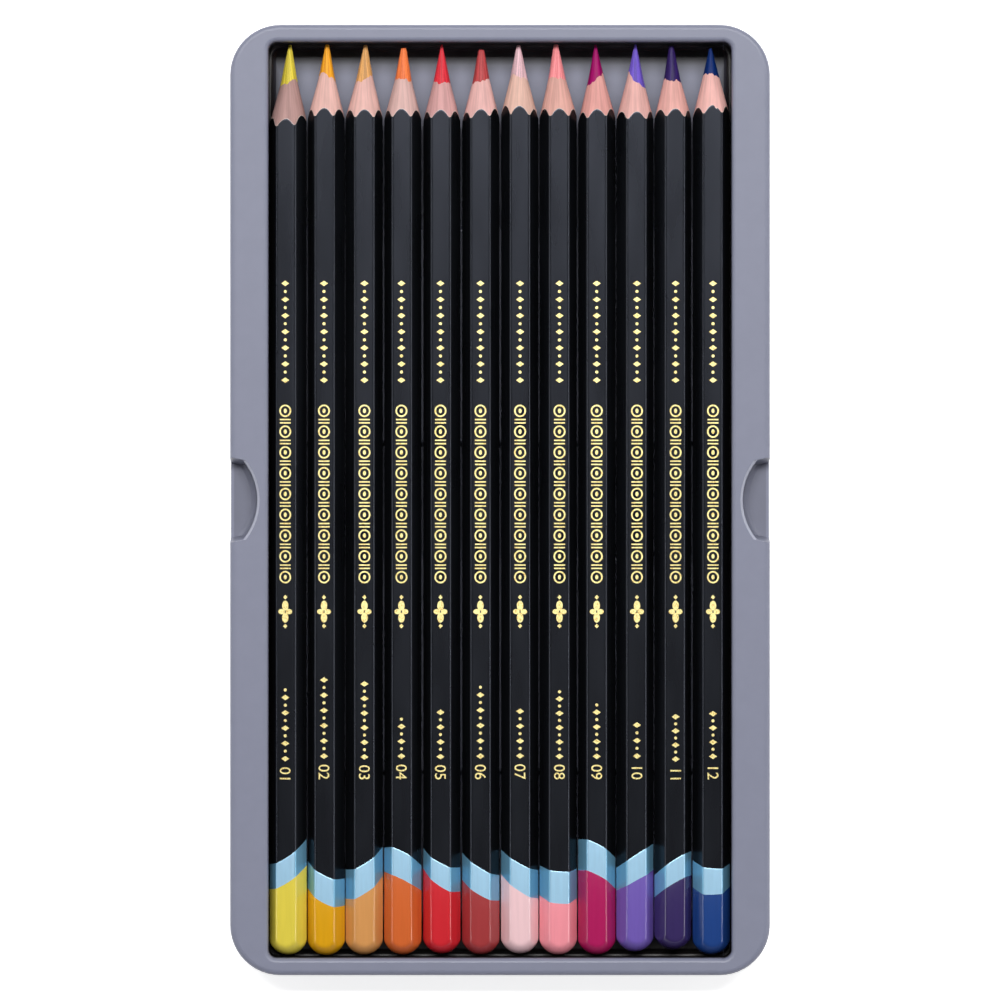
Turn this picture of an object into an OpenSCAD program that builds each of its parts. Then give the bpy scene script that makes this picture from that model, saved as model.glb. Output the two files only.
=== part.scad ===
// Insert tray of a colored pencil tin with twelve sharpened pencils lying in it.
// The origin is the centre of the tray's underside, +Y runs towards the pencil points, +Z is up.
// The tray is one thin formed sheet. Each pencil is a core, two glued half slats of cedar,
// a black lacquer coat, a pale blue band and a coloured dipped end.

/* [Pencil] */
// Length of the longest pencil, from the point to the rounded end
pencil_length = 174.3; // [150:0.1:190]
// Size across the flats of the lacquered barrel
barrel_flats = 6.4; // [6:0.05:7.5]
// Rounding of the barrel's six corners
barrel_corner_r = 0.85; // [0.5:0.05:1.2]
// Diameter of the coloured core
core_d = 3.3; // [2.5:0.05:4]
// Thickness of the black lacquer, and of the paint that takes its place at the end
lacquer_t = 0.12; // [0.1:0.01:0.25]
// How far the band and the dipped end stand proud of the lacquer
dip_proud = 0.02; // [0.01:0.01:0.05]
// Radius of the rounded end
dome_r = 3.75; // [3.7:0.05:6]
// Half angle of the sharpened wood
wood_angle = 14.6; // [12:0.1:20]
// Clearance that keeps glued and painted layers apart
bond_gap = 0.02; // [0.01:0.01:0.04]
// Clearance between the rounded wood and the paint over it
dome_gap = 0.05; // [0.03:0.01:0.1]

/* [Tray] */
// Thickness of the formed sheet
sheet_t = 0.8; // [0.5:0.1:1.2]
// Height of the rim above the underside
tray_h = 10.2; // [9:0.1:14]
// Width of the rim beside the row of pencils
side_rim = 7.3; // [6.6:0.1:12]
// Width of the rim beyond the pencils' ends
end_rim = 3.3; // [2.8:0.1:8]
// Rounding of the tray's outer corners, seen from above
outer_corner_r = 9.6; // [6:0.1:14]
// Rounding of the pocket's corners, seen from above
pocket_corner_r = 1.6; // [1:0.1:3]
// Soft rounding of the rim's outer edge
rim_edge_r = 1; // [0.5:0.1:1.4]
// Soft rounding of the rim's inner edge
pocket_edge_r = 0.8; // [0.4:0.1:1.2]
// Height of the pads' top above the underside
pad_top = 2.8; // [2.2:0.1:3.4]
// Length of each of the two pads that the pencils lie on
pad_length = 40; // [20:0.5:50]
// Length of the low channel between the pads
channel_length = 23; // [12:0.5:30]

/* [Finger scoops] */
// Length of a scoop along the rim
scoop_length = 16.4; // [14:0.1:18]
// How far a scoop reaches in from the tray's edge
scoop_depth = 5.3; // [4.6:0.1:5.6]
// Radius of a scoop's curved inner wall, seen from above
scoop_wall_r = 12; // [10:0.5:16]
// Angle by which a scoop's two end walls draw together inwards, seen from above
scoop_taper = 12; // [6:1:20]
// Drop from the rim to the scoop's floor
scoop_drop = 5; // [3:0.1:6]
// Run of a scoop's end walls for each unit of their height
scoop_lean = 0.2; // [0.1:0.02:0.4]

/* [Fits] */
// Gap between two neighbouring dipped ends
pencil_gap = 0.19; // [0.05:0.01:0.5]
// Gap between the row of pencils and the pocket's side wall
side_clearance = 0.15; // [0.15:0.05:1]
// Gap between a pencil's end and the pocket's end wall
end_clearance = 0.25; // [0.2:0.05:2]
// Gap between a pencil and the pads under it
seat_gap = 0.02; // [0.01:0.01:0.1]

/* [Hidden] */
// Fineness of small corners, of edges and of full circles
corner_steps = 3;
arc_steps = 4;
fine = 64;
// Size of the blocks that cut a pencil, longer than the pencil itself
reach = 1.5 * pencil_length;
lacquer_colour = "#1E1F24";
band_colour = "#9ECCE8";
cedar_colour = "#E8B8AA";
tray_colour = "#9698AA";

// One row per pencil, from the left: its name, the colour of its core, the colour of its
// dipped end; [its roll about its own axis in degrees, how far it lies to the right of its even
// place, as a share of the gap]; how far the sharpener's axis and then the core lie off the
// barrel's axis, as [x, z]; [how far the point stays back, exposed core, radius at the point];
// how far the rounded end stays back; and the two slanting paint lines, as [height above the
// end at the top flat, slope across, slope down].
PENCILS = [
    ["yellow", "#E0D428", "#DECB4A", [-10, -0.3], [0.1, -0.25], [0, -0.3], [0.05, 7.5, 0.3],
        0.2, [19.1, 0.68, -0.07], [14.2, 0.65, -0.07]],
    ["amber", "#FFAE18", "#D99E10", [-6, -0.7], [0, 0.1], [0.12, -0.1], [0, 6.9, 0.35],
        0.1, [15.4, -0.45, -0.15], [10.1, -0.45, -0.15]],
    ["ochre", "#E4A83A", "#D29455", [2, -1.2], [0, 0], [-0.2, 0], [0.1, 6.7, 0.35],
        0.2, [17.7, 0.6, -0.2], [12, 0.6, -0.25]],
    ["orange", "#FF7A18", "#CF642E", [-4, -1], [0, 0.1], [0, 0.05], [0.65, 6.4, 0.55],
        0.2, [20.1, -0.5, 0.25], [14.8, -0.5, 0]],
    ["red", "#E42234", "#CC2630", [-4, -0.5], [0, 0.15], [0, 0.15], [0, 7.4, 0.15],
        0.4, [17.8, -0.5, -0.15], [13.3, -0.6, -0.2]],
    ["brick", "#B8303A", "#A0383A", [-1, 0], [0.1, 0.1], [0, 0.1], [1, 6.1, 0.6],
        0.2, [16.9, -0.6, -0.1], [11.7, -0.55, -0.12]],
    ["pale_pink", "#EFC3CB", "#ECC5C9", [1, 0.5], [-0.1, 0.1], [0, 0.05], [0.2, 6.3, 0.4],
        0.4, [17.8, -0.55, -0.05], [12.5, -0.65, -0.15]],
    ["rose", "#FF8088", "#EF929D", [4, 0.5], [0, 0], [0, 0], [0, 6.6, 0.45],
        0.2, [16.3, -0.1, -0.1], [10.2, -0.1, -0.25]],
    ["plum", "#B00C6C", "#AC1959", [-1, 0.65], [0.1, 0.1], [-0.15, 0.05], [0, 7.1, 0.15],
        0.2, [21.6, -0.5, 0.2], [15.7, -0.5, 0.2]],
    ["lavender", "#7C5CC8", "#6E58AD", [6, 0.25], [0, -0.05], [0.28, 0], [0, 7, 0.2],
        0.8, [19.4, 0.65, 0], [14.5, 0.55, -0.08]],
    ["indigo", "#402468", "#35285B", [8, -0.25], [0, 0.1], [0.05, 0.1], [0.3, 6.7, 0.45],
        1.2, [18.4, 0.65, 0.1], [14, 0.6, 0.1]],
    ["navy", "#103C80", "#1C3F80", [4, -0.25], [0.05, 0.15], [0.14, -0.05], [0.75, 5.8, 0.28],
        0.2, [16.9, -0.1, -0.27], [11.9, 0, -0.35]]
];
count = len(PENCILS);

// What the columns of a row hold
function core_colour(i) = PENCILS[i][1];
function dip_colour(i) = PENCILS[i][2];
function roll(i) = PENCILS[i][3][0];
function sideways(i) = PENCILS[i][3][1];
function sharpener_off(i) = PENCILS[i][4];
function core_off(i) = PENCILS[i][5];
function point_back(i) = PENCILS[i][6][0];
function exposed_core(i) = PENCILS[i][6][1];
function point_r(i) = PENCILS[i][6][2];
function end_back(i) = PENCILS[i][7];
function band_line(i) = PENCILS[i][8];
function dip_line(i) = PENCILS[i][9];

// Sections of a pencil
coat_t = lacquer_t + dip_proud;
core_r = core_d / 2;
corner_axis_r = (barrel_flats / 2 - barrel_corner_r) / cos(30);
dip_across_corners = 2 * (corner_axis_r + barrel_corner_r + dip_proud);
// The sharpened form is drawn wider than the barrel, and runs on into the rounded end
turned_margin = 0.8;
turned_r = dip_across_corners / 2 + turned_margin;
turned_overlap = dome_r / 8;
// A blunt point: its flat and its bevel, as shares of the point's radius
point_flat = 0.7;
point_bevel = 0.5;

// Places of the pencils
pitch = dip_across_corners + pencil_gap;
function pencil_x(i) = (i - (count - 1) / 2) * pitch + sideways(i) * pencil_gap;
function rest_height(i) = corner_axis_r * cos(30 - abs(roll(i))) + barrel_corner_r;
function pencil_z(i) = pad_top + seat_gap + rest_height(i);
function point_y(i) = pencil_length / 2 - point_back(i);
function wood_y(i) = point_y(i) - exposed_core(i);
function end_y(i) = -pencil_length / 2 + end_back(i);
function dome_y(i) = end_y(i) + dome_r;

// Sizes of the tray
pocket_w = (count - 1) * pitch + dip_across_corners + 2 * side_clearance;
pocket_l = pencil_length + 2 * end_clearance;
tray_w = pocket_w + 2 * side_rim;
tray_l = pocket_l + 2 * end_rim;
end_trough_l = (pocket_l - channel_length) / 2 - pad_length;
// How far a hollow is drawn on above its top
hollow_over = 1;
// Rounding of the steps in the pocket's floor
step_r = 0.6;
// Size of the blocks that bound a scoop's length, more than the disc of its inner wall
scoop_reach = 4 * scoop_wall_r;
// Curved wall of a scoop as [inset, height above its floor], steep with a round foot
scoop_foot = [[1.4, 0], [0.8, 0.2], [0.45, 0.6], [0.25, 1.4]];
// Upper part of the same wall as [inset, drop below the rim], flaring at the rim
scoop_brow = [[0.1, 0.6], [0, 0.4], [-0.4, 0]];

// Outline of the barrel: a hexagon with a flat on top and round corners
function hexagon(flats, corner) = [
    for (side = [0:5], step = [0:corner_steps])
        let (turn = 60 * side - 30 + 60 * step / corner_steps)
        (flats / 2 - corner) / cos(30) * [cos(60 * side), sin(60 * side)]
            + corner * [cos(turn), sin(turn)]
];

// Six-sided bar along the pencil, drawn in by inset on every side
module hex_bar(i, inset) {
    rotate([0, roll(i), 0])
        translate([0, -pencil_length, 0])
            rotate([-90, 0, 0])
                linear_extrude(2 * pencil_length)
                    polygon(hexagon(barrel_flats - 2 * inset, barrel_corner_r - inset));
}

// What the sharpener leaves: a slim cone on the core, a wider one on the wood
module sharpened(i) {
    wide_y = wood_y(i) - (turned_r - core_r) / tan(wood_angle);
    back_y = dome_y(i) - turned_overlap;
    translate([sharpener_off(i)[0], 0, sharpener_off(i)[1]])
        rotate([-90, 0, 0])
            rotate_extrude($fn = fine)
                polygon([
                    [0, point_y(i)],
                    [point_r(i) * point_flat, point_y(i)],
                    [point_r(i), point_y(i) - point_r(i) * point_bevel],
                    [core_r, wood_y(i)],
                    [turned_r, wide_y],
                    [turned_r, back_y],
                    [0, back_y]
                ]);
}

// Everything a turned pencil fits in: the sharpened front and the rounded end
module turned(i, inset) {
    union() {
        sharpened(i);
        translate([0, dome_y(i), 0]) sphere(r = dome_r - inset, $fn = fine);
    }
}

// Half space on the point side of a slanting paint line, moved by gap towards the point
module above_line(i, line, gap) {
    slope = [line[1], line[2]];
    lean = atan(norm(slope));
    top_z = barrel_flats / 2;
    translate([0, -pencil_length / 2 + line[0] - slope[1] * top_z + gap, 0])
        rotate(a = lean, v = [-slope[1], 0, slope[0]])
            translate([-reach, 0, -reach])
                cube([2 * reach, 2 * pencil_length, 2 * reach]);
}

// Puts a pencil's piece in its place in the row
module in_row(i) {
    translate([pencil_x(i), 0, pencil_z(i)]) children();
}

// Coloured core, from the point to the rounded end
module core(i) {
    color(core_colour(i))
        in_row(i)
            intersection() {
                translate([core_off(i)[0], -pencil_length, core_off(i)[1]])
                    rotate([-90, 0, 0])
                        cylinder(r = core_r, h = 2 * pencil_length, $fn = fine);
                turned(i, coat_t + dome_gap);
            }
}

// The two half slats of cedar, glued at the plane through two corners
module casing(i) {
    color(cedar_colour)
        in_row(i)
            difference() {
                intersection() {
                    hex_bar(i, lacquer_t);
                    turned(i, coat_t + dome_gap);
                }
                translate([core_off(i)[0], -pencil_length, core_off(i)[1]])
                    rotate([-90, 0, 0])
                        cylinder(r = core_r + bond_gap, h = 2 * pencil_length, $fn = fine);
                rotate([0, roll(i), 0])
                    translate([-reach, -pencil_length, -bond_gap / 2])
                        cube([2 * reach, 2 * pencil_length, bond_gap]);
            }
}

// Thin coat over the wood, proud of the lacquer by the given amount
module coat(i, proud) {
    difference() {
        intersection() {
            hex_bar(i, -proud);
            turned(i, 0);
        }
        intersection() {
            hex_bar(i, lacquer_t - bond_gap);
            translate([-reach, dome_y(i) - dome_r + coat_t, -reach])
                cube([2 * reach, 2 * pencil_length, 2 * reach]);
            union() {
                translate([0, dome_y(i), 0]) sphere(r = dome_r - coat_t, $fn = fine);
                translate([-reach, dome_y(i) - turned_overlap, -reach])
                    cube([2 * reach, 2 * pencil_length, 2 * reach]);
            }
        }
    }
}

// Black lacquer, from the scalloped edge at the sharpened wood to the band
module lacquer(i) {
    color(lacquer_colour)
        in_row(i)
            intersection() {
                coat(i, 0);
                above_line(i, band_line(i), bond_gap);
            }
}

// Pale blue band between the lacquer and the dipped end
module band(i) {
    color(band_colour)
        in_row(i)
            difference() {
                intersection() {
                    coat(i, dip_proud);
                    above_line(i, dip_line(i), bond_gap);
                }
                above_line(i, band_line(i), 0);
            }
}

// Band and coloured paint that the end was dipped in
module dipped_end(i) {
    band(i);
    color(dip_colour(i))
        in_row(i)
            difference() {
                coat(i, dip_proud);
                above_line(i, dip_line(i), 0);
            }
}

// Quarter arc of an edge as [inset, height] pairs, from the wall up to the top face
function round_edge(radius, top) = [
    for (step = [0:arc_steps])
        let (turn = 90 * step / arc_steps)
        [radius * (1 - cos(turn)), top - radius + radius * sin(turn)]
];

// The same arc flaring out of a hollow
function flared_edge(radius, top) = [for (p = round_edge(radius, top)) [-p[0], p[1]]];

// Moves an edge down and in with the underside of the sheet
function under(edge, t) = [for (p = edge) [p[0] + t, p[1] - t]];

// Moves a hollow's edge down and out with the underside of the sheet, and on up past its top
function around(edge, t) = concat(
    [for (p = edge) [p[0] - t, p[1] - t]],
    [[edge[len(edge) - 1][0] - t, edge[len(edge) - 1][1] + hollow_over]]
);

// Section of a form from its middle out to a side that follows an edge
function walled(edge, side, middle) = concat(
    [[middle, edge[0][1]]],
    [for (p = edge) [side - p[0], p[1]]],
    [[middle, edge[len(edge) - 1][1]]]
);

// Block with rounded corners whose side follows an edge of [inset, height] pairs
module rounded_block(size, corner, edge) {
    flank = function (half) concat(
        [for (p = edge) [half - p[0], p[1]]],
        [for (k = [len(edge) - 1:-1:0]) [-half + edge[k][0], edge[k][1]]]
    );
    for (sx = [-1, 1], sy = [-1, 1])
        translate([sx * (size[0] / 2 - corner), sy * (size[1] / 2 - corner), 0])
            rotate([0, 0, sx > 0 ? (sy > 0 ? 0 : -90) : (sy > 0 ? 90 : 180)])
                rotate_extrude(angle = 90, $fn = fine)
                    polygon(walled(edge, corner, 0));
    translate([0, size[1] / 2 - corner, 0])
        rotate([90, 0, 0])
            linear_extrude(size[1] - 2 * corner)
                polygon(flank(size[0] / 2));
    translate([-size[0] / 2 + corner, 0, 0])
        rotate([90, 0, 90])
            linear_extrude(size[0] - 2 * corner)
                polygon(flank(size[1] / 2));
}

// Low part of the pocket floor between or beyond the pads
module trough(length, y, t) {
    edge = concat([[step_r, sheet_t], [0, sheet_t + step_r]], flared_edge(step_r, pad_top));
    translate([0, y, 0])
        rounded_block([pocket_w - 2 * step_r, length - 2 * step_r], pocket_corner_r, around(edge, t));
}

// Pocket that holds the row: straight walls down to the pads, and three troughs
module pocket(t) {
    edge = concat([[0, pad_top]], flared_edge(pocket_edge_r, tray_h));
    rounded_block([pocket_w, pocket_l], pocket_corner_r, around(edge, t));
    trough(channel_length, 0, t);
    for (side = [-1, 1])
        trough(end_trough_l, side * (pocket_l - end_trough_l) / 2, t);
}

// Finger scoop in the middle of a side rim, open to the tray's edge: a curved wall between
// two straight end walls
module scoop(side, t) {
    edge = around(
        concat(
            [for (p = scoop_foot) [p[0], tray_h - scoop_drop + p[1]]],
            [for (p = scoop_brow) [p[0], tray_h - p[1]]]
        ),
        t
    );
    translate([side * tray_w / 2, 0, 0])
        rotate([0, 0, side > 0 ? 180 : 0])
            intersection() {
                translate([scoop_depth - scoop_wall_r, 0, 0])
                    rotate_extrude($fn = fine)
                        polygon(walled(edge, scoop_wall_r, 0));
                end_wall(t);
                mirror([0, 1, 0]) end_wall(t);
            }
}

// Block on the inner side of a scoop's upper end wall, from under its floor to above the rim
module end_wall(t) {
    slope = [for (z = [0, tray_h + 2 * hollow_over]) [(tray_h - z) * scoop_lean - t, z - t]];
    translate([0, scoop_length / 2, 0])
        rotate([0, 0, -scoop_taper])
            translate([-scoop_reach / 2, 0, 0])
                rotate([90, 0, 90])
                    linear_extrude(scoop_reach)
                        polygon(walled(slope, 0, -scoop_reach));
}

// Filled form under the sheet's upper face, or under its lower face when t is the thickness
module tray_form(t) {
    difference() {
        rounded_block(
            [tray_w, tray_l],
            outer_corner_r,
            under(concat([[0, -t]], round_edge(rim_edge_r, tray_h)), t)
        );
        pocket(t);
        for (side = [-1, 1]) scoop(side, t);
    }
}

// Formed sheet tray, hollow under the rim and the pads
module tray() {
    color(tray_colour)
        difference() {
            tray_form(0);
            tray_form(sheet_t);
        }
}

tray();
for (i = [0:count - 1]) {
    core(i);
    casing(i);
    lacquer(i);
    dipped_end(i);
}
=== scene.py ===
"""Dresses the insert tray of a colored pencil tin and the twelve pencils that lie in it.

Lengths are in millimetres, as in the part's source, and become metres where a mesh is made.
A pencil's own frame has its origin on the barrel's axis, +Y towards the point and +Z up.
"""
import cmath
import logging
import math
import random
from dataclasses import dataclass, field
from enum import Enum
from typing import Iterable, Sequence, Union

import bpy
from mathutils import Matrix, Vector


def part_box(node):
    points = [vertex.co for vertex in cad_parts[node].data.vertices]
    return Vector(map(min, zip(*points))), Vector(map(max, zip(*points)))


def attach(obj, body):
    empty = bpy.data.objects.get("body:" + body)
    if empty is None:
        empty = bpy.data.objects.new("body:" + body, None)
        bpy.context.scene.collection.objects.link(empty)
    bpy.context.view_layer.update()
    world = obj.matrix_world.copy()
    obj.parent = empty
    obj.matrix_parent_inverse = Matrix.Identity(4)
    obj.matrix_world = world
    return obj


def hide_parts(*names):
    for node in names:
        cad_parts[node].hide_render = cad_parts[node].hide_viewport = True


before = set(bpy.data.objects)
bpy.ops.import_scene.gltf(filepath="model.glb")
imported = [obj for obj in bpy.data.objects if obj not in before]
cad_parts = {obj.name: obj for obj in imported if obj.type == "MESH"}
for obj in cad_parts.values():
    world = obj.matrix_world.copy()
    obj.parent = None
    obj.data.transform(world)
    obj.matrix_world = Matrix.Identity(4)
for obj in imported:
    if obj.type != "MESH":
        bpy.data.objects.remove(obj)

MM = 0.001
Colour = tuple[float, float, float, float]
Pair = tuple[float, float]
Triple = tuple[float, float, float]
Outline = list[Pair]
Value = Union["Signal", int, float]
Material = bpy.types.Material
Piece = bpy.types.Object
log = logging.getLogger("pencil_tin")


def shade(code: str, gain: float = 1.0) -> Colour:
    """Turns a screen colour into the linear colour that a shader takes.

    Args:
        code: Colour as #RRGGBB.
        gain: Factor on all three parts.

    Returns:
        Linear red, green, blue and alpha.
    """
    parts = [int(code[k:k + 2], 16) / 255 for k in (1, 3, 5)]
    linear = [c / 12.92 if c <= 0.04045 else ((c + 0.055) / 1.055) ** 2.4 for c in parts]
    return (*[min(1.0, c * gain) for c in linear], 1.0)


def node_box(node: str) -> tuple[Vector, Vector]:
    """Lowest and highest corner of a CAD node, in millimetres."""
    low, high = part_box(node)
    return low / MM, high / MM


# ------------ shaders


class Signal:
    """Output of a node. Arithmetic on it adds Math nodes to its graph."""

    def __init__(self, graph: "Graph", socket: bpy.types.NodeSocket) -> None:
        """Keeps the socket and the graph it belongs to."""
        self.graph = graph
        self.socket = socket

    def math(self, operation: str, *values: Value) -> "Signal":
        """Adds one Math node with its inputs in order."""
        return self.graph.node("ShaderNodeMath", {"operation": operation}, dict(enumerate(values)))

    def __add__(self, other: Value) -> "Signal":
        """Sum."""
        return self.math("ADD", self, other)

    def __sub__(self, other: Value) -> "Signal":
        """Difference."""
        return self.math("SUBTRACT", self, other)

    def __rsub__(self, other: float) -> "Signal":
        """A number minus this."""
        return self.math("SUBTRACT", other, self)

    def __mul__(self, other: Value) -> "Signal":
        """Product."""
        return self.math("MULTIPLY", self, other)

    __radd__ = __add__
    __rmul__ = __mul__

    def at_least(self, other: Value) -> "Signal":
        """Larger of the two."""
        return self.math("MAXIMUM", self, other)

    def size(self) -> "Signal":
        """The value without its sign."""
        return self.math("ABSOLUTE", self)

    def fade(self, low: float, high: float) -> "Signal":
        """Smooth step from 1 at low to 0 at high."""
        return 1 - self.smooth(low, high)

    def spread(self, mean: float, swing: float) -> "Signal":
        """A value that varies by the swing round its mean, as this goes from 0 to 1."""
        return self * swing + (mean - swing / 2)

    def smooth(self, low: float = 0.3, high: float = 0.7) -> "Signal":
        """Smooth step from 0 at low to 1 at high; the defaults suit plain noise."""
        values = {"Value": self, "From Min": low, "From Max": high}
        return self.graph.node("ShaderNodeMapRange", {"interpolation_type": "SMOOTHSTEP"}, values)


class Graph:
    """Node tree of a material or of the world."""

    def __init__(self, owner: "Union[Material, bpy.types.World]") -> None:
        """Empties the owner's tree.

        Args:
            owner: The material or the world.
        """
        owner.use_nodes = True
        self.owner = owner
        self.tree = owner.node_tree
        self.tree.nodes.clear()

    @classmethod
    def material(cls, name: str) -> "Graph":
        """Starts a new material of that name."""
        return cls(bpy.data.materials.new(name))

    def node(
        self,
        kind: str,
        settings: "dict[str, object] | None" = None,
        values: "dict[Union[int, str], object] | None" = None,
        out: Union[int, str] = 0,
    ) -> Signal:
        """Adds a node, sets its settings and then its sockets.

        Args:
            kind: Node type.
            settings: Properties of the node.
            values: Sockets by name or number, each a number, a tuple or a signal.
            out: The output wanted.

        Returns:
            That output.
        """
        node = self.tree.nodes.new(kind)
        for key, value in (settings or {}).items():
            setattr(node, key, value)
        for key, value in (values or {}).items():
            socket = node.inputs[key]
            if isinstance(value, Signal):
                self.tree.links.new(value.socket, socket)
            else:
                socket.default_value = value
        return Signal(self, node.outputs[out] if node.outputs else None)

    def vector(self, operation: str, *values: object) -> Signal:
        """Adds one Vector Math node with its inputs in order."""
        return self.node("ShaderNodeVectorMath", {"operation": operation}, dict(enumerate(values)))

    def place(self, stretch: Triple = (1.0, 1.0, 1.0)) -> Signal:
        """Object coordinates in millimetres, each times its stretch."""
        where = self.node("ShaderNodeTexCoord", out="Object")
        return self.vector("MULTIPLY", where, tuple(s / MM for s in stretch))

    def around(self, axis: Vector, turns: float, along: float) -> Signal:
        """Coordinates in which noise runs in streaks along a pencil, also down its cone.

        Args:
            axis: Point on the pencil's axis.
            turns, along: Features per radian round the axis, and per millimetre along it.

        Returns:
            The coordinates, different for each pencil of the row.
        """
        away = self.vector("SUBTRACT", self.place(), tuple(axis))
        side = self.vector("NORMALIZE", self.vector("MULTIPLY", away, (1.0, 0.0, 1.0)))
        slow = self.vector("MULTIPLY_ADD", away, (0.0, along, 0.0), (0.0, axis.x, 0.0))
        return self.vector("MULTIPLY_ADD", side, (turns,) * 3, slow)

    def axes(self, place: Signal) -> list[Signal]:
        """The three parts of a vector."""
        return [self.node("ShaderNodeSeparateXYZ", {}, {0: place}, out=axis) for axis in "XYZ"]

    def noise(self, where: "Union[Signal, Triple]", detail: float = 2.0) -> Signal:
        """Soft noise at the given coordinates, or with features per millimetre along each axis."""
        spot = where if isinstance(where, Signal) else self.place(where)
        return self.node("ShaderNodeTexNoise", {}, {"Vector": spot, "Scale": 1.0, "Detail": detail})

    def mix(self, factor: Value, first: object, second: object) -> Signal:
        """Mixes two colours."""
        values = {0: factor, 6: first, 7: second}
        return self.node("ShaderNodeMix", {"data_type": "RGBA"}, values, out=2)

    def tones(self, share: Signal, code: str, gains: Pair) -> Signal:
        """One colour between two gains, low at share 0 and high at share 1."""
        return self.mix(share, *(shade(code, gain) for gain in gains))

    def seen(self) -> Signal:
        """Tells what shows from what only lights.

        Returns:
            1 for what the camera, a reflection or a clear surface shows, 0 for light.
        """
        rays = [
            self.node("ShaderNodeLightPath", out=f"Is {kind} Ray")
            for kind in ("Camera", "Glossy", "Transmission")
        ]
        return rays[0].at_least(rays[1]).at_least(rays[2])

    def bump(self, height: Signal, depth: float, strength: float = 1.0) -> Signal:
        """Bump of a depth in millimetres."""
        values = {"Strength": strength, "Distance": depth * MM, "Height": height}
        return self.node("ShaderNodeBump", {}, values)

    def finish(self, **values: object) -> Material:
        """Ends the tree in a Principled shader.

        Args:
            values: Its sockets, with _ for each space in a name.

        Returns:
            The material.
        """
        named = {key.replace("_", " "): value for key, value in values.items()}
        shader = self.node("ShaderNodeBsdfPrincipled", {}, named)
        self.node("ShaderNodeOutputMaterial", {}, {"Surface": shader})
        return self.owner


class Slot(Enum):
    """Shared materials, each named as its slot of the record; the band's sides, a darker copy of
    its blue that paints their shade, share the band's.
    """

    TRAY = "tray_plastic"
    CEDAR = "cedar"
    LACQUER = "black_lacquer"
    BAND = "band_blue"
    # Darker blue of the band's side flats: painted shade.
    BAND_PAINTED_SHADE = "band_blue_sides"
    FOIL = "gold_foil"


@dataclass(frozen=True)
class Finish:
    """What most finishes share.

    Attributes:
        name: Name of the material.
        colour: Its mean tone.
        gains: Darkest and lightest share of that tone.
        roughness, swing: Mean roughness, and how much it varies.
    """

    name: str
    colour: str
    gains: Pair
    roughness: float
    swing: float

    def close(self, tone: Signal, rough: Signal, **more: object) -> Material:
        """Ends the material's tree.

        Args:
            tone: Place between the darkest and the lightest tone, from 0 to 1.
            rough: Place between the smoothest and the roughest, from 0 to 1.
            more: Further sockets of the shader.

        Returns:
            The material.
        """
        colour = tone.graph.tones(tone, self.colour, self.gains)
        rough = rough.spread(self.roughness, self.swing)
        return tone.graph.finish(Base_Color=colour, Roughness=rough, **more)


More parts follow.
